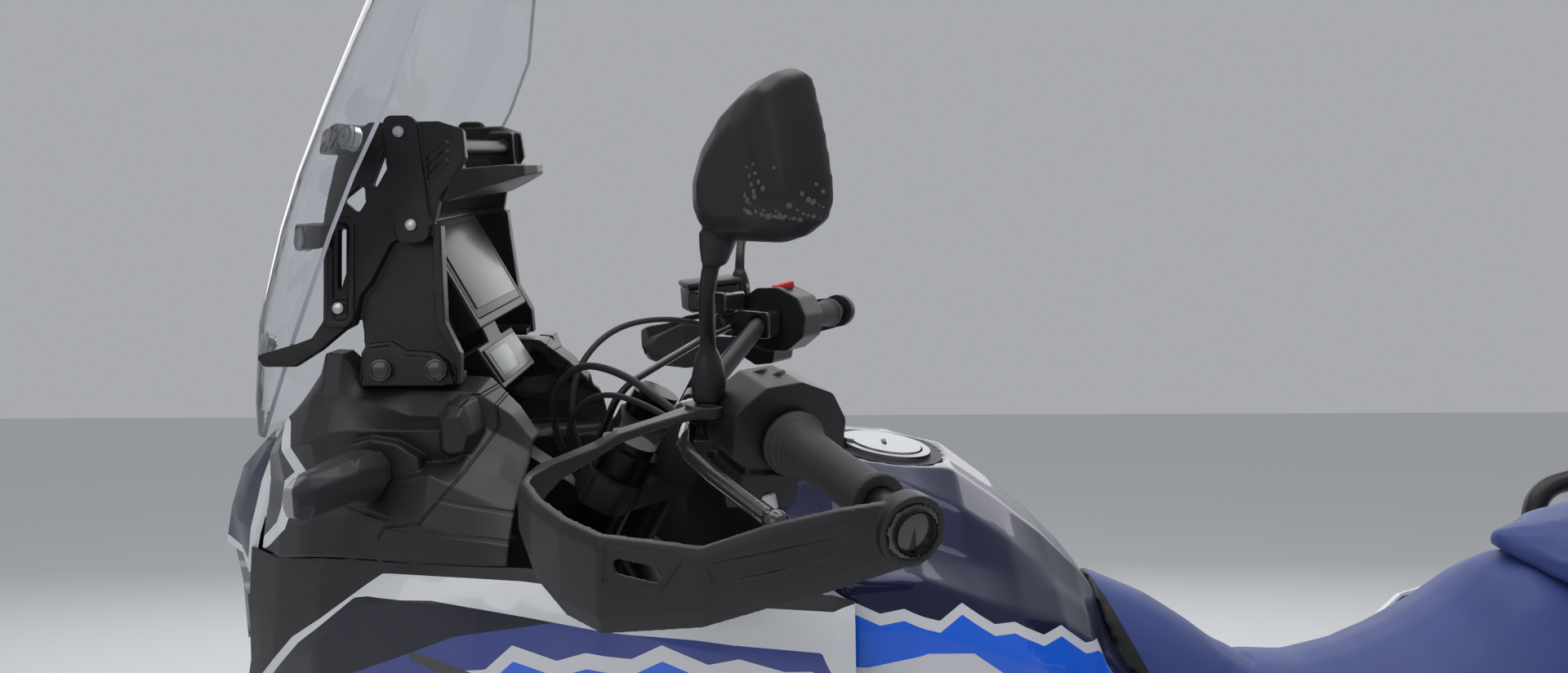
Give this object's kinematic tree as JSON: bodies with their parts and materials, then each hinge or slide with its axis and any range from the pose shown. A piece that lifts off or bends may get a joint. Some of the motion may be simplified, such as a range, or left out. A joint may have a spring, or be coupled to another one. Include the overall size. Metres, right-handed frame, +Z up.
{
  "type": "adventure motorcycle",
  "caption": "Adventure motorcycle with a tall clear screen, hand guards, spoked wheels and a stepped seat, leaning on its side stand.",
  "frame": {"origin": "middle of the bounding box on the ground", "axes": "+X forward, +Y to the rider's left, +Z up; the machine leans to +Y on its side stand"},
  "size_m": [2.285, 0.9324, 1.5554],
  "materials": {
    "black_metal": "satin",
    "engine_metal": "satin",
    "aluminium": "satin",
    "exhaust_steel": "satin",
    "disc_steel": "brushed",
    "chain_steel": "satin",
    "gold_fork": "satin",
    "caliper": "satin",
    "spring": "gloss",
    "rim": "satin",
    "tyre": "matte",
    "rubber": "matte",
    "black_plastic": "matte",
    "navy_paint": "gloss",
    "blue_paint": "gloss",
    "white_paint": "gloss",
    "seat_vinyl": "matte",
    "clear": "gloss",
    "lamp": "gloss",
    "screen": "gloss",
    "amber": "gloss",
    "red_lens": "gloss"
  },
  "bodies": {
    "chassis": {"frame": "black_metal", "engine": "engine_metal", "sprocket_cover": "engine_metal", "skid_plate": "aluminium", "radiator": "aluminium", "silencer": "aluminium", "exhaust": "exhaust_steel", "subframe": "black_metal", "swingarm": "aluminium", "rear_spindles": "aluminium", "rear_shock": "spring", "drive_chain": "chain_steel", "rear_caliper": "caliper", "rear_hugger": "black_plastic", "footpegs": "black_metal", "pedals": "black_metal", "fuel_tank": "navy_paint", "filler_ring": "aluminium", "rider_seat": "seat_vinyl", "pillion_seat": "seat_vinyl", "cowls": "black_plastic", "side_fairings": "blue_paint", "nose_panel": "white_paint", "cockpit_frame": "black_metal", "headlight": "lamp", "windscreen": "clear", "screen_towers": "black_plastic", "display": "screen", "front_indicators": "amber", "rear_side_covers": "white_paint", "rear_carrier": "black_metal", "tail_light": "red_lens", "rear_fender": "black_plastic", "rear_indicators": "amber"},
    "steering": {"yokes": "engine_metal", "fork_legs": "gold_fork", "front_calipers": "caliper", "front_axle": "aluminium", "handlebar": "black_metal", "grips": "rubber", "switchgear": "black_plastic", "levers": "black_plastic", "handguards": "black_plastic", "mirrors": "black_plastic", "front_fender": "black_plastic", "front_hoses": "rubber"},
    "front_wheel": {"front_tyre": "tyre", "front_wheel_rim": "rim", "front_discs": "disc_steel"},
    "rear_wheel": {"rear_tyre": "tyre", "rear_wheel_rim": "rim", "rear_disc": "disc_steel", "rear_sprocket": "disc_steel"},
    "side_stand": {"side_stand": "black_metal"},
    "fuel_cap": {"fuel_cap": "aluminium"}
  },
  "joints": [
    {"name": "steering", "type": "hinge", "parent": "chassis", "child": "steering", "pos_m": [0.4396, -0.04743, 0.88315], "axis": [-0.4617, 0.1784, 0.8689], "range_deg": [-38, 38]},
    {"name": "front_wheel_spin", "type": "hinge", "parent": "steering", "child": "front_wheel", "pos_m": [0.79511, -0.15865, 0.34134], "axis": [0, 0.9796, -0.2011], "continuous": true},
    {"name": "rear_wheel_spin", "type": "hinge", "parent": "chassis", "child": "rear_wheel", "pos_m": [-0.7799, -0.16124, 0.32871], "axis": [0, 0.9796, -0.2011], "continuous": true},
    {"name": "side_stand_fold", "type": "hinge", "parent": "chassis", "child": "side_stand", "pos_m": [-0.0124, -0.05229, 0.23284], "axis": [0, 0.9871, 0.1599], "range_deg": [0, 95]},
    {"name": "fuel_cap_lid", "type": "hinge", "parent": "chassis", "child": "fuel_cap", "pos_m": [0.18177, -0.01278, 1.05193], "axis": [0, 0.9796, -0.2011], "range_deg": [0, 100]}
  ]
}
